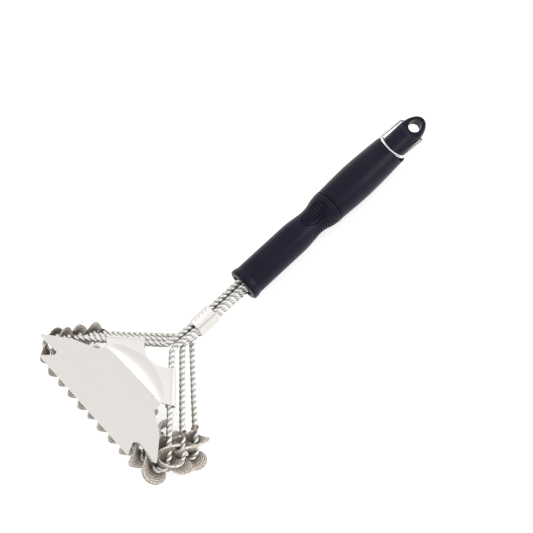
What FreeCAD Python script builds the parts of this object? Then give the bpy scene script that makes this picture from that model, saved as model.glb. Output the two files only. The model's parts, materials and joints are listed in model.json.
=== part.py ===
import FreeCAD, Part
import math
import os

from FreeCAD import Vector

# Grill cleaning brush. Millimetres.
# The parts are laid out with +Y along the handle axis, from the scraper's front edge towards the
# hang eye, X across the head and Z up. The finished brush is then tipped to stand on its lowest
# points, with the origin at the centre of the foot of its box.

# Overall
TOTAL_LENGTH = 457.0
REST_TIP_DEG = 1.32  # the handle axis falls by this much towards the hang eye when the brush lies down

# Wire loops: two round strands lie one on the other and share each loop
STRAND_D = 3.0
STRAND_GAP = 0.06
TAIL_X = 3.4  # half the distance between a loop's two tails
TAIL_END_Y = 246.0
LAYER_Z = (6.1, 0.0, -6.1)
LOOP_SLOPE_DEG = (9.0, 3.0, -5.0)
SLOPE_START_Y = 123.5
SHOULDER_Y = (95.5, 106.0, 116.5)  # where the tails' lines meet the arms' lines
BASE_Y = (9.0, 21.2, 33.4)  # cross bar of each loop
BASE_HALF = 102.0  # half the cross bar, to the sharp corner
CORNER_R = 8.0
SHOULDER_R = 9.0
SLOPE_R = 36.0

# Scrub coils
COIL_R = 13.3
COIL_CROWN_R = 11.3  # the lobe at the crown of each corner
COIL_CORE_R = 5.6
COIL_BORE_R = 3.15
COIL_PITCH = 16.4
LOBE_T = 4.2
LOBE_LEAN_DEG = 14.0
ARM_LOBE_R = 9.0
ARM_LOBE = 32.0  # from the crown of a corner to the lobe on the arm, along the wire
COIL_ON_ARM = 24.0  # how far a coil runs up each arm past the corner's arc

# Scraper
SHEET_T = 1.5
BEND_Y = 52.0
BLADE_DEG = 28.3
BLADE_LENGTH = 59.0
FRONT_HALF = 66.5
PRONG_HALF = 86.5
NECK_HALF = 40.6
RELIEF_IN = 31.0
EAR_FRONT_Y = 56.5
EAR_BACK_Y = 81.4
CUT_Y = 72.3  # deepest point of the rounded cut between the ears
EAR_BORE_R = 3.2
HUMP_HALF = 40.0  # the neck swells between the bend and an arched crease
HUMP_RISE = 1.5
CREASE_Y = 71.0
CREASE_END_Y = 57.0

# Ferrule and the sleeve on the hidden tails
FERRULE_Y = (127.0, 150.0)
FERRULE_WALL = 1.0
FERRULE_IN_X = 6.6
FERRULE_IN_Z = 9.3
SLEEVE_Y = (224.0, 242.0)

# Handle
GRIP_FRONT_Y = 190.5
RIM_R = 18.0
BARREL_R = 16.8
WAIST_Y = 289.0
WAIST_R = 14.6
SEAM_Y = 313.8
SEAM_R = 18.6
BELLY_Y = 354.0
BELLY_R = 19.9
GRIP_END_Y = 411.0
GRIP_END_R = 17.4
GRIP_BORE_R = 12.0
SPIGOT_R = 13.6
SPIGOT_LENGTH = 14.0
NECK_R = 13.3
CAP_Y = 422.3
PAD_Y = 291.5
PAD_LENGTH = 32.0
PAD_WIDTH = 18.0
PAD_RIBS = 9
PAD_DEPTH = 0.9
PAD_TURN_DEG = 6.0

# End cap, hang eye and ring
TAIL_ROLL_DEG = 18.0  # the recess, the cap and the ring are turned this much about the handle axis
EYE_Y = 441.8
EYE_HALF_W = 6.7
EYE_HALF_L = 8.2
EYE_HALF_T = 7.6
PIVOT_Y = 439.5
PIVOT_R = 1.5
PIVOT_BORE_R = 1.56
RING_D = 3.0
RING_HALF = 15.7
RING_REACH = 44.0
RING_BEND_R = 2.4
RING_KNEE_R = 6.0
RING_BOW_R = 26.0
RING_BOW_DEG = 27.0
RING_GAP = 0.25
RING_HOOK_IN = 8.4

X_AXIS = Vector(1, 0, 0)
Y_AXIS = Vector(0, 1, 0)
Z_AXIS = Vector(0, 0, 1)
ORIGIN = Vector(0, 0, 0)


def rounded_path(points, radii):
    """A wire of straight runs through points, with a tangent arc of the given radius at each inner one."""
    edges = []
    start = points[0]
    for before, corner, after, radius in zip(points, points[1:], points[2:], radii):
        to_before = (before - corner).normalize()
        to_after = (after - corner).normalize()
        half = to_before.getAngle(to_after) / 2
        reach = radius / math.tan(half)
        middle = (to_before + to_after).normalize()
        first = corner + to_before * reach
        last = corner + to_after * reach
        crown = corner + middle * (radius / math.sin(half) - radius)
        edges.append(Part.LineSegment(start, first).toShape())
        edges.append(Part.Arc(first, crown, last).toShape())
        start = last
    edges.append(Part.LineSegment(start, points[-1]).toShape())
    return Part.Wire(edges)


def rod(path, radius):
    """A round bar along a wire."""
    first = path.Edges[0]
    at = first.valueAt(first.FirstParameter)
    along = first.tangentAt(first.FirstParameter)
    circle = Part.Wire(Part.Circle(at, along, radius).toShape())
    return path.makePipeShell([circle], True, False)


def turned(profile):
    """A solid of revolution about the handle axis from (y, r) points and arcs already made as edges."""
    face = Part.Face(Part.Wire(profile))
    return face.revolve(ORIGIN, Y_AXIS, 360)


def line(a, b):
    return Part.LineSegment(a, b).toShape()


def arc(a, b, c):
    return Part.Arc(a, b, c).toShape()


def cylinder(radius, start, along, length):
    return Part.makeCylinder(radius, length, start, along)


def loop_normal(k):
    """Direction out of the plane of loop k."""
    slope = math.radians(LOOP_SLOPE_DEG[k])
    return Vector(0, math.sin(slope), math.cos(slope))


def loop_point(k, x, y, lift=0.0):
    """The point of loop k's plane at x and y, then moved by lift along the plane's normal."""
    slope = math.radians(LOOP_SLOPE_DEG[k])
    z = LAYER_Z[k] + (SLOPE_START_Y - y) * math.tan(slope)
    return Vector(x, y, z) + loop_normal(k) * lift


def strand_path(k, lift):
    """The centre line of one strand of loop k, lifted off the loop's plane."""
    slope = math.radians(LOOP_SLOPE_DEG[k])
    start_y = SLOPE_START_Y + lift * math.tan(slope / 2)
    level = LAYER_Z[k] + lift
    right = [
        Vector(TAIL_X, TAIL_END_Y, level),
        Vector(TAIL_X, start_y, level),
        loop_point(k, TAIL_X, SHOULDER_Y[k], lift),
        loop_point(k, BASE_HALF, BASE_Y[k], lift),
    ]
    left = [Vector(-p.x, p.y, p.z) for p in reversed(right)]
    radii = [SLOPE_R, SHOULDER_R, CORNER_R]
    return rounded_path(right + left, radii + radii[::-1])


def strand(k, side):
    lift = side * (STRAND_D + STRAND_GAP) / 2
    return rod(strand_path(k, lift), STRAND_D / 2)


def coil_stem(k):
    """The centre line of scrub coil k: the cross bar, both corners and the foot of each arm."""
    corner = loop_point(k, BASE_HALF, BASE_Y[k])
    shoulder = loop_point(k, TAIL_X, SHOULDER_Y[k])
    up = (shoulder - corner).normalize()
    inner = up.getAngle(Vector(-1, 0, 0))
    top = corner + up * (CORNER_R / math.tan(inner / 2) + COIL_ON_ARM)
    mirrored = [Vector(-p.x, p.y, p.z) for p in (corner, top)]
    return rounded_path([top, corner] + mirrored, [CORNER_R, CORNER_R])


def lobe_places(stem, odd):
    """Distances along a stem and radii of its lobes. The bar lobes of an odd row sit between the others'."""
    bar = max(edge.Length for edge in stem.Edges)
    crown = COIL_ON_ARM + (stem.Length - bar - 2 * COIL_ON_ARM) / 4
    ends = [(crown, COIL_CROWN_R), (crown - ARM_LOBE, ARM_LOBE_R)]
    ends += [(stem.Length - distance, radius) for distance, radius in ends]
    first = 0.0 if odd else COIL_PITCH / 2
    count = int((bar / 2 - first - COIL_PITCH * 0.3) / COIL_PITCH) + 1
    offsets = [first + i * COIL_PITCH for i in range(count)]
    bars = {side * offset for offset in offsets for side in (1, -1)}
    return ends + [(stem.Length / 2 + offset, COIL_R) for offset in sorted(bars)]


def scrub_coil(k):
    """Round lobes strung on a thin core, all leaning the same way like the turns of a coil."""
    stem = coil_stem(k)
    lean = FreeCAD.Rotation(loop_normal(k), LOBE_LEAN_DEG)
    lobes = []
    for distance, radius in lobe_places(stem, k % 2):
        at, along = point_on(stem, distance)
        along = lean.multVec(along)
        lobe = cylinder(radius, at - along * (LOBE_T / 2), along, LOBE_T)
        lobes.append(lobe.makeFillet(LOBE_T * 0.4, lobe.Edges[:1] + lobe.Edges[2:]))
    body = rod(stem, COIL_CORE_R).multiFuse(lobes)
    tails = [loop_point(k, s * TAIL_X, SHOULDER_Y[k]) for s in (1, -1)]
    bars = [loop_point(k, s * BASE_HALF, BASE_Y[k]) for s in (1, -1)]
    bore_path = rounded_path([tails[0], bars[0], bars[1], tails[1]], [CORNER_R, CORNER_R])
    return body.cut(rod(bore_path, COIL_BORE_R))


def point_on(path, distance):
    """The point and direction at a distance along a wire."""
    for edge in path.OrderedEdges:
        if distance <= edge.Length:
            break
        distance -= edge.Length
    t = edge.getParameterByLength(distance)
    return edge.valueAt(t), edge.tangentAt(t).normalize()


def arm_x(y):
    """How far the front loop's right arm is from the middle at y."""
    run = (SHOULDER_Y[0] - y) / (SHOULDER_Y[0] - BASE_Y[0])
    return TAIL_X + run * (BASE_HALF - TAIL_X)


def ear(side):
    """The rolled edge that holds one arm of the front loop: a tube with its inner upper quarter open."""
    normal = loop_normal(0)
    front = loop_point(0, side * arm_x(EAR_FRONT_Y), EAR_FRONT_Y)
    back = loop_point(0, side * arm_x(EAR_BACK_Y), EAR_BACK_Y)
    along = (back - front).normalize()
    length = front.distanceToPoint(back)
    out = along.cross(normal) * side
    tube = cylinder(EAR_BORE_R + SHEET_T, front, along, length)
    tube = tube.cut(cylinder(EAR_BORE_R, front, along, length))
    size = 2 * (EAR_BORE_R + SHEET_T)
    corners = [
        front,
        front + normal * size,
        front + normal * size - out * size,
        front - out * size,
        front,
    ]
    opening = Part.Face(Part.makePolygon(corners)).extrude(along * length)
    return tube.cut(opening)


def on_neck(x, y, rise=0.0):
    """A point on the underside of the scraper's neck, which lies on top of the front loop's arms."""
    return loop_point(0, x, y, EAR_BORE_R + rise)


def hump():
    """Underside of the swelling in the neck, from the bend to the arched crease."""
    rows = []
    for i in range(13):
        across = i / 6 - 1
        crease = CREASE_END_Y + (CREASE_Y - CREASE_END_Y) * (1 - across**2)
        rise = HUMP_RISE * (1 - across**2)
        row = []
        for j in range(7):
            t = j / 6
            y = BEND_Y + (crease - BEND_Y) * t
            row.append(on_neck(HUMP_HALF * across, y, rise * 4 * t * (1 - t)))
        rows.append(row)
    surface = Part.BSplineSurface()
    surface.interpolate(rows)
    return surface.toShape()


def neck():
    """The sheet behind the bend: flat wings over the arms, with the hump set in between."""
    normal = loop_normal(0)
    edge = (NECK_HALF, BEND_Y)
    front = (arm_x(EAR_FRONT_Y), EAR_FRONT_Y)
    back = (arm_x(EAR_BACK_Y), EAR_BACK_Y)
    cut = (16.6, 78.4)
    right = [on_neck(x, y) for x, y in (edge, front, back, cut)]
    left = [on_neck(-x, y) for x, y in (cut, back, front, edge)]
    edges = [line(a, b) for a, b in zip(right, right[1:])]
    edges.append(arc(right[-1], on_neck(0, CUT_Y), left[0]))
    edges += [line(a, b) for a, b in zip(left, left[1:])]
    edges.append(line(left[-1], right[0]))
    swelling = hump()
    inside = Part.Face(swelling.OuterWire).extrude(normal * SHEET_T)
    wings = Part.Face(Part.Wire(edges)).extrude(normal * SHEET_T).cut(inside)
    return [wings, swelling.extrude(normal * SHEET_T)]


def scraper():
    """Blade, bend, neck and rolled ears in one sheet."""
    normal = loop_normal(0)
    tilt = math.radians(BLADE_DEG)
    forward = Vector(0, -math.cos(tilt), math.sin(tilt))
    up = Vector(0, math.sin(tilt), math.cos(tilt))
    hinge = on_neck(0, BEND_Y)

    def on_blade(x, v):
        return hinge + X_AXIS * x + forward * v

    half = [
        ("line", (NECK_HALF, 0), (NECK_HALF + 0.8, 5.0)),
        ("arc", (NECK_HALF + 0.8, 5.0), (NECK_HALF + 2.3, 9.3), (47.0, 12.6)),
        ("line", (47.0, 12.6), (60.5, 19.6)),
        ("arc", (60.5, 19.6), (64.6, 22.0), (68.4, 25.0)),
        ("line", (68.4, 25.0), (PRONG_HALF - 0.4, 42.2)),
        ("arc", (PRONG_HALF - 0.4, 42.2), (PRONG_HALF, 44.0), (PRONG_HALF - 1.6, 45.0)),
        ("line", (PRONG_HALF - 1.6, 45.0), (64.0, 43.4)),
        ("arc", (64.0, 43.4), (59.6, 45.7), (60.8, 50.2)),
        ("line", (60.8, 50.2), (FRONT_HALF, BLADE_LENGTH)),
    ]
    edges = []
    for side in (1, -1):
        for kind, *pts in half:
            at = [on_blade(side * x, v) for x, v in pts]
            edges.append(line(*at) if kind == "line" else arc(*at))
    edges.append(line(on_blade(FRONT_HALF, BLADE_LENGTH), on_blade(-FRONT_HALF, BLADE_LENGTH)))
    edges.append(line(on_blade(NECK_HALF, 0), on_blade(-NECK_HALF, 0)))
    outline = Part.Wire(Part.__sortEdges__(edges))
    blade = Part.Face(outline).extrude(up * SHEET_T)

    # The outer side of the bend is filled by a thin wedge so that the sheet keeps its thickness.
    wedge_points = [hinge, hinge + normal * SHEET_T, hinge + up * SHEET_T, hinge]
    wedge = Part.Face(Part.makePolygon(wedge_points)).extrude(X_AXIS * (2 * NECK_HALF))
    wedge.translate(X_AXIS * -NECK_HALF)

    body = blade.multiFuse(neck() + [wedge, ear(1), ear(-1)])
    for side in (1, -1):
        slit = Part.makeBox(NECK_HALF - RELIEF_IN + 12, 1.1, 12)
        slit.translate(Vector(RELIEF_IN, BEND_Y - 0.2, hinge.z - 5))
        if side < 0:
            slit = slit.mirror(ORIGIN, X_AXIS)
        body = body.cut(slit)
    return body.removeSplitter()


def rounded_bar(half_x, half_z, corner, y0, y1):
    """A bar along the handle axis with a rounded rectangular section."""
    box = Part.makeBox(2 * half_x, y1 - y0, 2 * half_z, Vector(-half_x, y0, -half_z))
    edges = [e for e in box.Edges if abs(e.tangentAt(e.FirstParameter).y) > 0.99]
    return box.makeFillet(corner, edges)


def sleeve(y0, y1, wall):
    """A crimped sheet sleeve round the six tails."""
    outer = rounded_bar(FERRULE_IN_X + wall, FERRULE_IN_Z + wall, 3.4, y0, y1)
    inner = rounded_bar(FERRULE_IN_X, FERRULE_IN_Z, 2.4, y0 - 1, y1 + 1)
    return outer.cut(inner)


def ferrule():
    """The visible sleeve, with a lapped seam along its top and a row of crimp dimples."""
    y0, y1 = FERRULE_Y
    top = FERRULE_IN_Z + FERRULE_WALL
    body = sleeve(y0, y1, FERRULE_WALL)
    lap = Part.makeBox(3.2, y1 - y0, 0.5, Vector(-0.2, y0, top - 0.1))
    body = body.fuse(lap)
    for i in range(4):
        y = y0 + 4.6 + i * 4.6
        ball = Part.makeSphere(1.6, Vector(-3.0, y, top + 1.15))
        body = body.cut(ball)
    return body


def finger_pad():
    """Cutters for the grooves of one oval pad, reaching through the skin: an outline and cross ribs."""
    low = WAIST_R - 3.6
    tall = 10.0
    ovals = []
    for inset in (0.0, 0.8):
        curve = Part.Ellipse(ORIGIN, PAD_LENGTH / 2 - inset, PAD_WIDTH / 2 - inset)
        face = Part.Face(Part.Wire(curve.toShape()))
        face.rotate(ORIGIN, Z_AXIS, 90)
        face.translate(Vector(0, PAD_Y, low))
        ovals.append(face.extrude(Z_AXIS * tall))
    cutters = [ovals[0].cut(ovals[1])]
    pitch = PAD_LENGTH / (PAD_RIBS + 1)
    for i in range(PAD_RIBS):
        y = (i - (PAD_RIBS - 1) / 2) * pitch
        reach = math.sqrt(1 - (y / (PAD_LENGTH / 2)) ** 2) * PAD_WIDTH / 2 - 2.4
        cutters.append(Part.makeBox(2 * reach, 1.0, tall, Vector(-reach, PAD_Y + y - 0.5, low)))
    return cutters


def grip_outline(inset=0.0):
    """The front grip's side from the rim to the seam, as points and tangent arcs, moved in by inset."""
    rim = RIM_R - inset
    barrel = BARREL_R - inset
    waist = WAIST_R - inset
    seam = SEAM_R - inset
    y0 = GRIP_FRONT_Y

    def p(y, r):
        return Vector(0, y, r)

    return [
        arc(p(y0, rim - 2.4), p(y0 + 0.7, rim - 0.7), p(y0 + 2.4, rim)),
        arc(p(y0 + 2.4, rim), p(y0 + 5.4, rim - 0.3), p(y0 + 9.0, barrel)),
        line(p(y0 + 9.0, barrel), p(262.0, barrel)),
        arc(p(262.0, barrel), p(270.0, barrel - 0.45), p(277.6, barrel - 1.35)),
        line(p(277.6, barrel - 1.35), p(281.5, waist + 0.45)),
        arc(p(281.5, waist + 0.45), p(WAIST_Y, waist), p(296.0, waist + 0.9)),
        line(p(296.0, waist + 0.9), p(301.0, waist + 2.4)),
        arc(p(301.0, waist + 2.4), p(306.4, seam - 0.55), p(SEAM_Y - 0.5, seam)),
    ]


def front_grip():
    """Hollow front half of the handle, with a spigot that plugs into the rear half."""
    side = grip_outline()
    y0 = GRIP_FRONT_Y
    end = SEAM_Y - 0.5
    closing = [
        line(Vector(0, end, SEAM_R), Vector(0, end, SPIGOT_R)),
        line(Vector(0, end, SPIGOT_R), Vector(0, end + SPIGOT_LENGTH, SPIGOT_R)),
        line(Vector(0, end + SPIGOT_LENGTH, SPIGOT_R), Vector(0, end + SPIGOT_LENGTH, GRIP_BORE_R)),
        line(Vector(0, end + SPIGOT_LENGTH, GRIP_BORE_R), Vector(0, y0, GRIP_BORE_R)),
        line(Vector(0, y0, GRIP_BORE_R), Vector(0, y0, RIM_R - 2.4)),
    ]
    body = turned(side + closing)
    inside = turned(
        grip_outline(PAD_DEPTH)
        + [
            line(Vector(0, end, SEAM_R - PAD_DEPTH), Vector(0, end, 0)),
            line(Vector(0, end, 0), Vector(0, y0, 0)),
            line(Vector(0, y0, 0), Vector(0, y0, RIM_R - 2.4 - PAD_DEPTH)),
        ]
    )
    grooves = [cutter.cut(inside) for cutter in finger_pad()]
    for i in range(4):
        for groove in grooves:
            tool = groove.copy()
            tool.rotate(ORIGIN, Y_AXIS, PAD_TURN_DEG + 90 * i)
            body = body.cut(tool)
    return body


def ring_rest_deg():
    """Angle between the ring's plane and the handle axis when it lies on the neck."""
    lift = NECK_R + RING_D / 2 + RING_GAP
    return math.degrees(math.asin(lift / (RING_REACH - 0.4)))


def ring_path():
    """The ring's centre line, flat at the height of its pivots and pointing towards the head."""
    rise = math.radians(RING_BOW_DEG)
    crown = RING_BOW_R * (1 / math.cos(rise) - 1)
    tip = PIVOT_Y - RING_REACH - crown
    right = [
        Vector(RING_HOOK_IN, PIVOT_Y, 0),
        Vector(RING_HALF, PIVOT_Y, 0),
        Vector(RING_HALF, tip + RING_HALF * math.tan(rise), 0),
    ]
    left = [Vector(-p.x, p.y, 0) for p in reversed(right)]
    radii = [RING_BEND_R, RING_KNEE_R, RING_BOW_R, RING_KNEE_R, RING_BEND_R]
    return rounded_path(right + [Vector(0, tip, 0)] + left, radii)


def roll_tail(shape):
    shape.rotate(ORIGIN, Y_AXIS, TAIL_ROLL_DEG)
    return shape


def hang_ring():
    path = ring_path()
    body = rod(path, RING_D / 2)
    body.rotate(Vector(0, PIVOT_Y, 0), X_AXIS, -ring_rest_deg())
    return roll_tail(body)


def rear_grip():
    """Hollow rear half of the handle; its top is cut back so that the ring lies in a recess."""

    def p(y, r):
        return Vector(0, y, r)

    start = SEAM_Y + 0.5
    end = GRIP_END_Y
    side = [
        arc(p(start, SEAM_R), p(start + 1.2, SEAM_R - 0.7), p(start + 2.6, SEAM_R - 0.2)),
        arc(p(start + 2.6, SEAM_R - 0.2), p(BELLY_Y - 16, BELLY_R - 0.45), p(BELLY_Y, BELLY_R)),
        arc(p(BELLY_Y, BELLY_R), p(386.0, 18.8), p(end - 2.0, GRIP_END_R)),
        arc(p(end - 2.0, GRIP_END_R), p(end - 0.6, GRIP_END_R - 0.6), p(end, GRIP_END_R - 2.0)),
        line(p(end, GRIP_END_R - 2.0), p(end, NECK_R)),
        line(p(end, NECK_R), p(CAP_Y - 0.3, NECK_R)),
        line(p(CAP_Y - 0.3, NECK_R), p(CAP_Y - 0.3, 10.0)),
        line(p(CAP_Y - 0.3, 10.0), p(start + SPIGOT_LENGTH + 2, 10.0)),
        line(p(start + SPIGOT_LENGTH + 2, 10.0), p(start + SPIGOT_LENGTH + 2, SPIGOT_R + 0.05)),
        line(p(start + SPIGOT_LENGTH + 2, SPIGOT_R + 0.05), p(start, SPIGOT_R + 0.05)),
        line(p(start, SPIGOT_R + 0.05), p(start, SEAM_R)),
    ]
    body = turned(side)
    half = RING_HALF + RING_D / 2 + 0.5
    far = PIVOT_Y - RING_REACH * math.cos(math.radians(ring_rest_deg())) - RING_D / 2 - 0.9
    plan = [
        line(Vector(half, GRIP_END_Y + 4, -1.9), Vector(half, far + 7.0, -1.9)),
        arc(Vector(half, far + 7.0, -1.9), Vector(0, far, -1.9), Vector(-half, far + 7.0, -1.9)),
        line(Vector(-half, far + 7.0, -1.9), Vector(-half, GRIP_END_Y + 4, -1.9)),
        line(Vector(-half, GRIP_END_Y + 4, -1.9), Vector(half, GRIP_END_Y + 4, -1.9)),
    ]
    pocket = Part.Face(Part.Wire(plan)).extrude(Z_AXIS * 30)
    pocket = pocket.cut(cylinder(NECK_R, Vector(0, 380, 0), Y_AXIS, 60))
    body = body.cut(pocket)
    return roll_tail(body)


def end_cap():
    """Round-nosed cap with flattened faces, the hang eye and a blind pivot hole on each side."""
    nose = TOTAL_LENGTH - 434.0
    edges = [
        line(Vector(0, CAP_Y, 0), Vector(0, CAP_Y, NECK_R)),
        line(Vector(0, CAP_Y, NECK_R), Vector(0, 434.0, NECK_R)),
    ]
    ellipse = Part.Ellipse(Vector(0, 434.0, 0), nose, NECK_R)
    quarter = ellipse.toShape(0, math.pi / 2)
    quarter.rotate(Vector(0, 434.0, 0), X_AXIS, 90)
    quarter.rotate(Vector(0, 434.0, 0), Z_AXIS, 90)
    edges.append(quarter)
    edges.append(line(Vector(0, TOTAL_LENGTH, 0), Vector(0, CAP_Y, 0)))
    wire = Part.Wire(Part.__sortEdges__(edges))
    body = Part.Face(wire).revolve(ORIGIN, Y_AXIS, 360)
    body = body.fuse(cylinder(9.95, Vector(0, CAP_Y - 12, 0), Y_AXIS, 12.5))
    for side in (1, -1):
        corners = [
            Vector(-20, 425.5, side * NECK_R),
            Vector(-20, 432.5, side * EYE_HALF_T),
            Vector(-20, 470.0, side * (EYE_HALF_T - 2.0)),
            Vector(-20, 470.0, side * 20),
            Vector(-20, 425.5, side * 20),
            Vector(-20, 425.5, side * NECK_R),
        ]
        body = body.cut(Part.Face(Part.makePolygon(corners)).extrude(X_AXIS * 40))
    eye = Part.Face(Part.Wire(Part.Ellipse(ORIGIN, EYE_HALF_L, EYE_HALF_W).toShape()))
    eye.rotate(ORIGIN, Z_AXIS, 90)
    eye.translate(Vector(0, EYE_Y, -20))
    body = body.cut(eye.extrude(Z_AXIS * 40))
    for side in (1, -1):
        start = Vector(side * (RING_HOOK_IN - 0.4), PIVOT_Y, 0)
        body = body.cut(cylinder(PIVOT_BORE_R, start, Vector(side, 0, 0), 12))
    return roll_tail(body)


def rod_bushing():
    """Plug in the front of the handle with a slot for the stack of tails."""
    plug = cylinder(GRIP_BORE_R - 0.05, Vector(0, GRIP_FRONT_Y + 1.2, 0), Y_AXIS, 24)
    slot = rounded_bar(FERRULE_IN_X, FERRULE_IN_Z, 2.4, GRIP_FRONT_Y, GRIP_FRONT_Y + 30)
    return plug.cut(slot)


def tail_sleeve():
    return sleeve(SLEEVE_Y[0], SLEEVE_Y[1], 1.2)


def build():
    nodes = {}
    for k, name in enumerate(("front", "middle", "rear")):
        nodes[name + "_wire_upper"] = strand(k, 1)
        nodes[name + "_wire_lower"] = strand(k, -1)
        nodes[name + "_scrub_coil"] = scrub_coil(k)
    nodes["scraper"] = scraper()
    nodes["ferrule"] = ferrule()
    nodes["front_grip"] = front_grip()
    nodes["rod_bushing"] = rod_bushing()
    nodes["tail_sleeve"] = tail_sleeve()
    nodes["rear_grip"] = rear_grip()
    nodes["end_cap"] = end_cap()
    nodes["hang_ring"] = hang_ring()
    return nodes


def place(nodes):
    """Tip the brush onto its lowest points and put the origin under the middle of its box."""
    for shape in nodes.values():
        shape.rotate(ORIGIN, X_AXIS, -REST_TIP_DEG)
    box = Part.makeCompound(list(nodes.values())).optimalBoundingBox(False)
    shift = Vector(-box.Center.x, -box.Center.y, -box.ZMin)
    for shape in nodes.values():
        shape.translate(shift)
    return shift


def main():
    nodes = build()
    place(nodes)
    os.makedirs("parts", exist_ok=True)
    for name, shape in nodes.items():
        shape.exportStep("parts/" + name + ".step")


main()
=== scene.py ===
import json
import math

import bpy
import numpy as np
from mathutils import Matrix, Vector


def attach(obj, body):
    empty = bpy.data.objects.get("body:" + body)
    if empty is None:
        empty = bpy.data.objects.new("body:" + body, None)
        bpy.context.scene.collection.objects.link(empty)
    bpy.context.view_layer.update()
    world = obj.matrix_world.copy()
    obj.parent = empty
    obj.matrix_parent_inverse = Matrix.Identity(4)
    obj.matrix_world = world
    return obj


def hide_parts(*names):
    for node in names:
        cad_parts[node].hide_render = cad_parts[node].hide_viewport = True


# Looks of the grill cleaning brush. The long shapes are laid out as in the CAD: +Y along the handle
# axis from the scraper's front edge, X across the head, Z up, in millimetres. place() brings them
# into the row frame in metres.

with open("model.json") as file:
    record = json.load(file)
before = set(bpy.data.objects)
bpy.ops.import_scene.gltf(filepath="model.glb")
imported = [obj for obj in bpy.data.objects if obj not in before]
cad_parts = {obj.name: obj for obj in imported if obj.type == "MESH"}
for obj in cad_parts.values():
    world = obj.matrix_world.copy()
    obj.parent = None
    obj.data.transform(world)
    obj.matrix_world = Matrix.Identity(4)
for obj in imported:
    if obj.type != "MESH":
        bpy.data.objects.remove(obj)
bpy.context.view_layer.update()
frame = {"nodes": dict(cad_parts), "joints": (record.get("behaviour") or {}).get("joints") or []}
NODES = frame["nodes"]

MM = 0.001
REST_TIP = math.radians(1.32)
PIVOT_Y = 439.5

STRAND_HALF_DEEP = 1.6  # a strand's section is pressed a little flat against its neighbour
STRAND_HALF_WIDE = 1.95
STRAND_STEP = 0.8
STRAND_SIDES = 14
STRAND_LAG = 0.6  # from one loop's twist to the next one's, in radians
TWIST_PITCH = 11.6
TAIL_X = 3.4
TAIL_END_Y = 246.0
LAYER_Z = (6.1, 0.0, -6.1)
LOOP_SLOPE = tuple(math.radians(d) for d in (9.0, 3.0, -5.0))
SLOPE_START_Y = 123.5
SHOULDER_Y = (95.5, 106.0, 116.5)
BASE_Y = (9.0, 21.2, 33.4)
BASE_HALF = 102.0
CORNER_R = 8.0
CORNER_REACH = 21.2  # from a bar's sharp corner to about where its arc starts
SHOULDER_R = 9.0
SLOPE_R = 36.0

COIL_PITCH = 31.3
COIL_R = 15.2
COIL_ON_ARM = 22.0
COIL_SHIFT = (3.9, 9.4, -6.3)  # where each ribbon stands upright nearest the middle of its bar
COIL_STEP = 0.5
STEM_STEP = 0.4
SQUARE_PAST = 3.0  # the lobes stop standing square to the wire this far past the end of the bar
SQUARE_FADE = 12.0

# Each ribbon runs round its -X corner without turning, then turns back
HOLD_LENGTH = 16.0
HOLD_START = -4.0  # earliest place, from the end of the bar along the wire
HOLD_TURN = 0.1  # from upright, in radians
HOLD_SLACK = 0.06
TURN_BACK = -1.6  # turning rate after the hold, against that on the bar

# Width of a ribbon: tapered at both ends, pinched at the -X corner and narrower on the -X arm
TAPER_LENGTH = 12.0
TAPER_END = 0.3
PINCH = (0.5, 0.3, 0.0)  # share of the width taken off each of the three ribbons
PINCH_AT = 9.0  # past the end of the bar
PINCH_LENGTH = 14.0
SLIM = 0.2
SLIM_AT = 14.0  # past the end of the bar
SLIM_FADE = 10.0

# Surface of a ribbon
RIBBON_POINTS = 45
RIBBON_HALF_THICK = 0.8
COIL_MARGIN = 0.9  # kept free inside COIL_R; the wobble takes up to 0.6 of it
EDGE_START = 0.93  # where a ribbon starts to thin toward its edge, as a share of its half width
EDGE_SPAN = 0.07
RIDGE = 0.3
RIDGE_PITCH = 2.1
WOBBLE = 0.4
WOBBLE_RATE = 0.8
EDGE_WOBBLE = 0.2
EDGE_WOBBLE_RATE = 3.1
SWAY = 0.6
SWAY_RATE = 1.7

# A lobe that comes within FLOOR_BAND metres of the floor is pressed up by this share of its depth
# in the band, so that none goes below the floor
FLOOR_BAND = 0.002
FLOOR_PRESS = 0.45

LOOPS = ("front", "middle", "rear")


def tip_matrix():
    """Turn of the handle axis onto the lying brush's axis."""
    c, s = math.cos(REST_TIP), math.sin(REST_TIP)
    return np.array([[1, 0, 0], [0, c, s], [0, -s, c]])


TIP = tip_matrix()
SHIFT = np.array(frame["joints"][0]["pos_m"]) - TIP @ np.array([0, PIVOT_Y, 0]) * MM


def place(points):
    """Layout millimetres to row-frame metres."""
    return np.asarray(points, float) @ TIP.T * MM + SHIFT


# ---------------------------------------------------------------- paths


def unit(v):
    return v / np.linalg.norm(v)


def rounded_path(points, radii, step):
    """Points along straight runs joined by tangent arcs, about one step apart."""
    points = [np.asarray(p, float) for p in points]
    out = [points[0]]

    def run_to(end):
        start = out[-1]
        n = max(1, int(math.ceil(np.linalg.norm(end - start) / step)))
        for i in range(1, n + 1):
            out.append(start + (end - start) * i / n)

    for before, corner, after, radius in zip(points, points[1:], points[2:], radii):
        a, b = unit(before - corner), unit(after - corner)
        half = math.acos(np.clip(a @ b, -1, 1)) / 2
        reach = radius / math.tan(half)
        run_to(corner + a * reach)
        centre = corner + unit(a + b) * radius / math.sin(half)
        u = unit(corner + a * reach - centre)
        w = unit(-a - u * (-a @ u))
        sweep = math.pi - 2 * half
        n = max(2, int(math.ceil(sweep * radius / (step * 0.7))))
        for i in range(1, n + 1):
            t = sweep * i / n
            out.append(centre + radius * (u * math.cos(t) + w * math.sin(t)))
    run_to(points[-1])
    return np.array(out)


def carried_frames(path, first):
    """Tangent, normal and side along a path, with the normal carried without twist from first."""
    tangent = np.gradient(path, axis=0)
    tangent /= np.linalg.norm(tangent, axis=1)[:, None]
    normal = np.empty_like(path)
    n = np.asarray(first, float)
    for i, t in enumerate(tangent):
        n = unit(n - t * (n @ t))
        normal[i] = n
    return tangent, normal, np.cross(tangent, normal)


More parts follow.
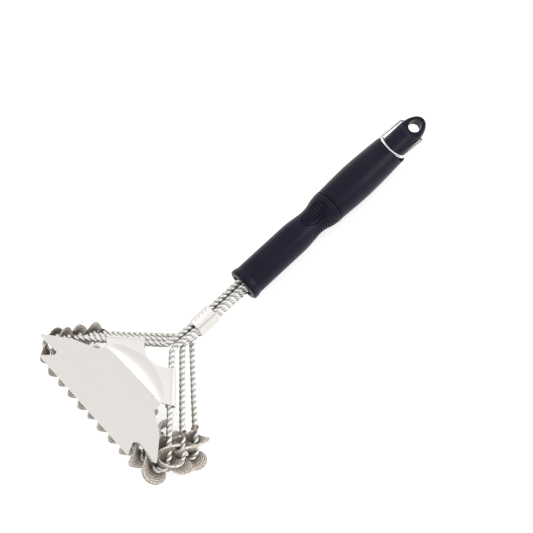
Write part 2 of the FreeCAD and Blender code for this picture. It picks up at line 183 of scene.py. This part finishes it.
def lengths(path):
    return np.concatenate([[0], np.cumsum(np.linalg.norm(np.diff(path, axis=0), axis=1))])


def loop_point(k, x, y):
    """Point on the sloping plane of loop k."""
    return np.array([x, y, LAYER_Z[k] + (SLOPE_START_Y - y) * math.tan(LOOP_SLOPE[k])])


def mirrored(points):
    return [np.array([-p[0], p[1], p[2]]) for p in reversed(points)]


def loop_path(k, step):
    """The whole wire of loop k: tail, arm, bar, arm and tail, from +X to -X."""
    right = [
        np.array([TAIL_X, TAIL_END_Y, LAYER_Z[k]]),
        np.array([TAIL_X, SLOPE_START_Y, LAYER_Z[k]]),
        loop_point(k, TAIL_X, SHOULDER_Y[k]),
        loop_point(k, BASE_HALF, BASE_Y[k]),
    ]
    radii = [SLOPE_R, SHOULDER_R, CORNER_R]
    return rounded_path(right + mirrored(right), radii + radii[::-1], step)


def stem_path(k, step):
    """The part of loop k that its coil covers: the bar and the foot of each arm."""
    corner = loop_point(k, BASE_HALF, BASE_Y[k])
    up = unit(loop_point(k, TAIL_X, SHOULDER_Y[k]) - corner)
    inner = math.acos(-up[0])
    top = corner + up * (CORNER_R / math.tan(inner / 2) + COIL_ON_ARM)
    right = [top, corner]
    return rounded_path(right + mirrored(right), [CORNER_R, CORNER_R], step)


# ---------------------------------------------------------------- meshes


def mesh_object(name, verts, faces, body, material, uv=None):
    mesh = bpy.data.meshes.new(name)
    mesh.from_pydata([tuple(v) for v in verts], [], faces)
    mesh.validate()
    mesh.polygons.foreach_set("use_smooth", [True] * len(mesh.polygons))
    if uv is not None:
        layer = mesh.uv_layers.new(name="UVMap")
        at = np.empty(len(mesh.loops), np.int64)
        mesh.loops.foreach_get("vertex_index", at)
        layer.data.foreach_set("uv", np.asarray(uv)[at].astype(np.float32).ravel())
    mesh.materials.append(material)
    obj = bpy.data.objects.new(name, mesh)
    bpy.context.scene.collection.objects.link(obj)
    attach(obj, body)
    return obj


def ring_faces(rows, cols):
    """Quads between rows of points, each row closed into a ring."""
    faces = []
    for i in range(rows - 1):
        for j in range(cols):
            a = i * cols + j
            b = i * cols + (j + 1) % cols
            faces.append((a, b, b + cols, a + cols))
    return faces


def closed_tube(rings):
    """Vertices and faces of a tube through rings of points, with a face across each end."""
    count, sides = rings.shape[:2]
    faces = ring_faces(count, sides)
    faces.append(tuple(range(sides))[::-1])
    faces.append(tuple((count - 1) * sides + j for j in range(sides)))
    return rings.reshape(-1, 3), faces


# ---------------------------------------------------------------- materials


def material(name, color, metallic, roughness):
    mat = bpy.data.materials.new(name)
    mat.use_nodes = True
    shader = mat.node_tree.nodes["Principled BSDF"]
    shader.inputs["Base Color"].default_value = (*color, 1)
    shader.inputs["Metallic"].default_value = metallic
    shader.inputs["Roughness"].default_value = roughness
    return mat, mat.node_tree.nodes, mat.node_tree.links, shader


def noise(nodes, links, scale, detail=3.0, stretch=None):
    """Noise in object space; stretch scales the three axes before it."""
    coord = nodes.new("ShaderNodeTexCoord")
    tex = nodes.new("ShaderNodeTexNoise")
    tex.inputs["Scale"].default_value = scale
    tex.inputs["Detail"].default_value = detail
    source = coord.outputs["Object"]
    if stretch:
        mapping = nodes.new("ShaderNodeMapping")
        mapping.inputs["Scale"].default_value = stretch
        links.new(source, mapping.inputs["Vector"])
        source = mapping.outputs["Vector"]
    links.new(source, tex.inputs["Vector"])
    return tex.outputs["Fac"]


def ramp(nodes, links, source, low, high, start=0.3, end=0.7):
    """Colour that runs from low to high as source goes from start to end."""
    node = nodes.new("ShaderNodeValToRGB")
    node.color_ramp.elements[0].position = start
    node.color_ramp.elements[1].position = end
    node.color_ramp.elements[0].color = (*low, 1)
    node.color_ramp.elements[1].color = (*high, 1)
    links.new(source, node.inputs["Fac"])
    return node.outputs["Color"]


def spread(nodes, links, source, low, high):
    """Number that runs from low to high as source goes from 0.25 to 0.75."""
    node = nodes.new("ShaderNodeMapRange")
    node.inputs["From Min"].default_value = 0.25
    node.inputs["From Max"].default_value = 0.75
    node.inputs["To Min"].default_value = low
    node.inputs["To Max"].default_value = high
    links.new(source, node.inputs["Value"])
    return node.outputs["Result"]


def bump(nodes, links, source, shader, strength, distance):
    node = nodes.new("ShaderNodeBump")
    node.inputs["Strength"].default_value = strength
    node.inputs["Distance"].default_value = distance
    links.new(source, node.inputs["Height"])
    links.new(node.outputs["Normal"], shader.inputs["Normal"])


def rope_steel():
    mat, nodes, links, shader = material("rope_steel", (0.66, 0.65, 0.625), 1.0, 0.4)
    cloud = noise(nodes, links, 90.0)
    tone = ramp(nodes, links, cloud, (0.62, 0.61, 0.58), (0.71, 0.7, 0.67))
    links.new(tone, shader.inputs["Base Color"])
    links.new(spread(nodes, links, cloud, 0.36, 0.44), shader.inputs["Roughness"])
    return mat


def coil_steel():
    """Woven fine wire, with painted shade that makes it dark near the stem and pale toward the outer
    edge, and with lines along the ribbon and specks.
    """
    mat, nodes, links, shader = material("coil_steel", (0.5, 0.46, 0.42), 0.45, 0.5)
    uv = nodes.new("ShaderNodeUVMap")
    uv.uv_map = "UVMap"
    split = nodes.new("ShaderNodeSeparateXYZ")
    links.new(uv.outputs["UV"], split.inputs["Vector"])
    # Painted shade: the ribbon's colour darkens toward the stem, where shade falls among its turns,
    # and is pale at its outer edge.
    stem_shade = ramp(nodes, links, split.outputs["Y"], (0.16, 0.135, 0.115), (0.8, 0.74, 0.665), 0.2, 0.8)

    stretch = nodes.new("ShaderNodeMapping")
    stretch.inputs["Scale"].default_value = (30.0, 12.0, 1.0)
    links.new(uv.outputs["UV"], stretch.inputs["Vector"])
    weave = nodes.new("ShaderNodeTexNoise")
    weave.inputs["Scale"].default_value = 1.0
    weave.inputs["Detail"].default_value = 2.0
    links.new(stretch.outputs["Vector"], weave.inputs["Vector"])
    speck = ramp(nodes, links, weave.outputs["Fac"], (0.5, 0.47, 0.44), (1.0, 1.0, 1.0), 0.38, 0.58)

    wave = nodes.new("ShaderNodeTexWave")
    wave.bands_direction = "Y"
    wave.inputs["Scale"].default_value = 2.2
    wave.inputs["Distortion"].default_value = 1.2
    wave.inputs["Detail"].default_value = 2.0
    wave.inputs["Detail Scale"].default_value = 2.0
    links.new(uv.outputs["UV"], wave.inputs["Vector"])
    lines = ramp(nodes, links, wave.outputs["Fac"], (0.42, 0.39, 0.36), (1.0, 1.0, 1.0), 0.1, 0.6)

    color = stem_shade
    for layer in (speck, lines):
        mix = nodes.new("ShaderNodeMix")
        mix.data_type = "RGBA"
        mix.blend_type = "MULTIPLY"
        mix.inputs["Factor"].default_value = 1.0
        links.new(color, mix.inputs["A"])
        links.new(layer, mix.inputs["B"])
        color = mix.outputs["Result"]
    links.new(color, shader.inputs["Base Color"])
    links.new(spread(nodes, links, weave.outputs["Fac"], 0.4, 0.55), shader.inputs["Roughness"])
    bump(nodes, links, weave.outputs["Fac"], shader, 0.7, 0.0007)
    return mat


def sheet_steel():
    """Brushed sheet, with the grain across the head."""
    mat, nodes, links, shader = material("sheet_steel", (0.67, 0.65, 0.625), 1.0, 0.4)
    grain = noise(nodes, links, 1.0, 2.0, (60.0, 1400.0, 1400.0))
    tone = ramp(nodes, links, grain, (0.654, 0.633, 0.609), (0.686, 0.666, 0.641))
    links.new(tone, shader.inputs["Base Color"])
    links.new(spread(nodes, links, grain, 0.38, 0.42), shader.inputs["Roughness"])
    return mat


def handle_plastic():
    """Dark moulded plastic, with painted shade from an ambient occlusion node that takes its sheen
    away in grooves.
    """
    mat, nodes, links, shader = material("handle_plastic", (0.01, 0.01, 0.018), 0.0, 0.45)
    # Painted shade: the ambient occlusion node lowers the specular level in grooves and recesses,
    # where shade falls.
    groove_shade = nodes.new("ShaderNodeAmbientOcclusion")
    groove_shade.inputs["Distance"].default_value = 0.0025
    sheen = spread(nodes, links, groove_shade.outputs["AO"], -0.16, 0.13)
    links.new(sheen, shader.inputs["Specular IOR Level"])
    grain = noise(nodes, links, 1400.0, 2.0)
    cloud = noise(nodes, links, 25.0)
    tone = ramp(nodes, links, cloud, (0.005, 0.0054, 0.014), (0.008, 0.0085, 0.021))
    links.new(tone, shader.inputs["Base Color"])
    links.new(spread(nodes, links, cloud, 0.32, 0.38), shader.inputs["Roughness"])
    bump(nodes, links, grain, shader, 0.1, 0.0003)
    return mat


def ring_chrome():
    mat, nodes, links, shader = material("ring_chrome", (0.8, 0.8, 0.8), 1.0, 0.12)
    cloud = noise(nodes, links, 60.0)
    tone = ramp(nodes, links, cloud, (0.64, 0.64, 0.645), (0.74, 0.74, 0.745))
    links.new(tone, shader.inputs["Base Color"])
    links.new(spread(nodes, links, cloud, 0.08, 0.18), shader.inputs["Roughness"])
    return mat


def floor_paint():
    """Pale board that glows a little, like a light table, so that shadows on it stay faint."""
    mat, nodes, links, shader = material("floor_paint", (0.8, 0.8, 0.8), 0.0, 0.8)
    cloud = noise(nodes, links, 3.0)
    tone = ramp(nodes, links, cloud, (0.79, 0.79, 0.79), (0.81, 0.81, 0.81))
    links.new(tone, shader.inputs["Base Color"])
    shader.inputs["Emission Color"].default_value = (1, 1, 1, 1)
    shader.inputs["Emission Strength"].default_value = 0.55
    return mat


ROPE = rope_steel()
COIL = coil_steel()
SHEET = sheet_steel()
PLASTIC = handle_plastic()
CHROME = ring_chrome()

# ---------------------------------------------------------------- twisted strands


def strands(k):
    """The two strands of loop k, wound round each other along its path."""
    path = loop_path(k, STRAND_STEP)
    tangent, normal, side = carried_frames(path, (0, 0, 1))
    turn = lengths(path) * 2 * math.pi / TWIST_PITCH
    section = np.linspace(0, 2 * math.pi, STRAND_SIDES, endpoint=False)[None, :, None]
    for half, level in ((0.0, "upper"), (math.pi, "lower")):
        angle = (turn + half + STRAND_LAG * k)[:, None]
        out = np.cos(angle) * normal + np.sin(angle) * side
        centre = path + STRAND_HALF_DEEP * out
        along = np.gradient(centre, axis=0)
        across = np.cross(along, out)
        across /= np.linalg.norm(across, axis=1)[:, None]
        rings = centre[:, None] + STRAND_HALF_DEEP * np.cos(section) * out[:, None]
        rings = rings + STRAND_HALF_WIDE * np.sin(section) * across[:, None]
        verts, faces = closed_tube(rings)
        node = LOOPS[k] + "_wire_" + level
        obj = mesh_object(node + "_twisted", place(verts), faces, "brush", ROPE)
        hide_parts(node)


# ---------------------------------------------------------------- scrub coils


def twist_run(k, total, bar, way):
    """Distance and turn down one half of ribbon k, from near the middle of the bar outward.

    On the bar the ribbon moves along the wire mostly while it is upright and turns over nearly on
    the spot, so the lobes stand square to the wire. The mean of cos**4 is 3/8, so 8/3 of it keeps
    the pitch. Past the -X corner the ribbon turns the other way.
    """
    at, turn, held = total / 2 + COIL_SHIFT[k], 0.0, 0.0
    run = []
    step = COIL_STEP * way
    rate = 1.0
    while 0 <= at <= total:
        run.append((at, turn))
        past = at - total / 2 - bar / 2
        if past > HOLD_START and rate > 0 and abs(turn % math.pi - HOLD_TURN) < HOLD_SLACK:
            held += step
            at += step
            if held > HOLD_LENGTH:
                rate = TURN_BACK
            continue
        square = np.clip((bar / 2 + SQUARE_PAST - abs(at - total / 2)) / SQUARE_FADE, 0, 1)
        turn += step * 2 * math.pi / COIL_PITCH * rate
        at += step * (1 + square * (8 / 3 * math.cos(turn) ** 4 - 1))
    return run


def ribbon_width(k, along, total, bar):
    """Share of the full width at each distance along ribbon k."""
    end = np.minimum(along, total - along)
    past = along - total / 2 - bar / 2
    grown = np.clip(end / TAPER_LENGTH, 0, 1)
    grown = TAPER_END + (1 - TAPER_END) * grown * grown * (3 - 2 * grown)
    grown = grown * (1 - PINCH[k] * np.exp(-(((past - PINCH_AT) / PINCH_LENGTH) ** 2)))
    return grown * (1 - SLIM * np.clip((past - SLIM_AT) / SLIM_FADE, 0, 1))


def scrub_coil(k):
    """A wide ribbon of woven wire twisted about the stem, so that its two edges make rows of lobes."""
    fine = stem_path(k, STEM_STEP)
    fine_along = lengths(fine)
    total = fine_along[-1]
    bar = 2 * (BASE_HALF - CORNER_REACH)
    run = twist_run(k, total, bar, -1)[:0:-1] + twist_run(k, total, bar, 1)
    along, angle = np.array(run).T

    def sampled(values):
        return np.stack([np.interp(along, fine_along, values[:, i]) for i in range(3)], axis=1)

    path = sampled(fine)
    tangent, normal, side = (sampled(v) for v in carried_frames(fine, (0, 0, 1)))
    across = np.linspace(-1, 1, RIBBON_POINTS)[None, :]
    wobble = WOBBLE * np.sin(WOBBLE_RATE * angle + k)[:, None]
    wobble = wobble + EDGE_WOBBLE * np.sin(EDGE_WOBBLE_RATE * angle + 2 * k)[:, None] * across
    width = ribbon_width(k, along, total, bar)[:, None]
    radius = (COIL_R - COIL_MARGIN + wobble) * width * across
    ridge = RIDGE * np.abs(np.sin(math.pi * radius / RIDGE_PITCH))
    past_edge = np.clip((np.abs(across) - EDGE_START) / EDGE_SPAN, 0, 1)
    thick = (RIBBON_HALF_THICK + ridge) * np.sqrt(np.clip(1 - past_edge**2, 0, 1))
    sway = SWAY * np.sin(SWAY_RATE * angle + k)[:, None] * across**2 * np.sign(across)

    out = np.cos(angle)[:, None] * normal + np.sin(angle)[:, None] * side
    turn_dir = -np.sin(angle)[:, None] * normal + np.cos(angle)[:, None] * side
    rise = COIL_PITCH / (2 * math.pi)
    centre = path[:, None] + out[:, None] * radius[:, :, None] + tangent[:, None] * sway[:, :, None]
    face_dir = radius[:, :, None] * tangent[:, None] - rise * turn_dir[:, None]
    face_dir /= np.linalg.norm(face_dir, axis=2)[:, :, None]
    front = centre + face_dir * thick[:, :, None]
    back = centre - face_dir * thick[:, :, None]
    verts, faces = closed_tube(np.concatenate([front, back[:, ::-1][:, 1:-1]], axis=1))
    verts = place(verts)
    verts[:, 2] -= FLOOR_PRESS * np.minimum(verts[:, 2] - FLOOR_BAND, 0.0)

    reach = np.abs(np.concatenate([radius, radius[:, ::-1][:, 1:-1]], axis=1)) / COIL_R
    turns = np.repeat((angle / math.pi)[:, None], reach.shape[1], axis=1)
    uv = np.stack([turns, reach], axis=2).reshape(-1, 2)
    node = LOOPS[k] + "_scrub_coil"
    obj = mesh_object(node + "_ribbon", verts, faces, "brush", COIL, uv)
    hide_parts(node)


for loop in range(3):
    strands(loop)
    scrub_coil(loop)

# ---------------------------------------------------------------- carried parts


def dress(names, mat):
    for name in names:
        mesh = NODES[name].data
        mesh.materials.clear()
        mesh.materials.append(mat)


dress(("scraper", "ferrule"), SHEET)
dress(("front_grip", "rear_grip", "end_cap", "rod_bushing"), PLASTIC)
dress(("tail_sleeve",), ROPE)
dress(("hang_ring",), CHROME)

# ---------------------------------------------------------------- floor, lights and camera

FLOOR_SIDE = 6.0
FLOOR_Z = -0.0006
SKY_BRIGHT_SIDE = (-0.1, 0.9, 0.4)
SKY_SPAN = 0.8
SKY_DARK = 0.35
SKY_LIGHT = 1.15
bpy.ops.mesh.primitive_plane_add(size=FLOOR_SIDE, location=(0, 0, FLOOR_Z))
floor = bpy.context.object
floor.name = "floor"
floor.data.materials.append(floor_paint())

world = bpy.data.worlds.new("studio")
bpy.context.scene.world = world
world.use_nodes = True
sky = world.node_tree.nodes
sky_links = world.node_tree.links
sky_coord = sky.new("ShaderNodeTexCoord")
sky_dot = sky.new("ShaderNodeVectorMath")
sky_dot.operation = "DOT_PRODUCT"
sky_dot.inputs[1].default_value = SKY_BRIGHT_SIDE
sky_links.new(sky_coord.outputs["Generated"], sky_dot.inputs[0])
sky_range = sky.new("ShaderNodeMapRange")
sky_range.inputs["From Min"].default_value = -SKY_SPAN
sky_range.inputs["From Max"].default_value = SKY_SPAN
sky_range.inputs["To Min"].default_value = SKY_DARK
sky_range.inputs["To Max"].default_value = SKY_LIGHT
sky_links.new(sky_dot.outputs["Value"], sky_range.inputs["Value"])
sky_links.new(sky_range.outputs["Result"], sky["Background"].inputs["Strength"])
sky["Background"].inputs["Color"].default_value = (1, 1, 1, 1)


def area_light(name, at, size, power):
    """Square light that faces the origin."""
    light = bpy.data.lights.new(name, "AREA")
    light.shape = "RECTANGLE"
    light.size = light.size_y = size
    light.energy = power
    obj = bpy.data.objects.new(name, light)
    bpy.context.scene.collection.objects.link(obj)
    obj.location = at
    obj.rotation_euler = (-Vector(at)).to_track_quat("-Z", "Y").to_euler()


area_light("key", (-0.6, -0.3, 1.4), 0.9, 4)
area_light("side", (1.0, 1.0, 0.75), 0.8, 7)

CAMERA_TARGET = Vector((0.0004, -0.0046, 0.0208))
CAMERA_DISTANCE = 0.8645
CAMERA_AZIMUTH = math.radians(63.65)  # 0 looks along +Y; the camera stands off to the +X side
CAMERA_ELEVATION = math.radians(63.8)
CAMERA_ROLL = math.radians(-19.3)
CAMERA_LENS = 57.8

forward = Vector(
    (
        -math.sin(CAMERA_AZIMUTH) * math.cos(CAMERA_ELEVATION),
        math.cos(CAMERA_AZIMUTH) * math.cos(CAMERA_ELEVATION),
        -math.sin(CAMERA_ELEVATION),
    )
)
right = forward.cross(Vector((0, 0, 1))).normalized()
up = right.cross(forward)
turn = Matrix((right, up, -forward)).transposed().to_4x4()
roll = Matrix.Rotation(CAMERA_ROLL, 4, "Z")
camera_data = bpy.data.cameras.new("camera")
camera_data.lens = CAMERA_LENS
camera_data.sensor_width = 36.0
camera = bpy.data.objects.new("camera", camera_data)
camera.matrix_world = Matrix.Translation(CAMERA_TARGET - forward * CAMERA_DISTANCE) @ turn @ roll
bpy.context.scene.collection.objects.link(camera)
bpy.context.scene.camera = camera
bpy.context.scene.view_settings.view_transform = "Standard"
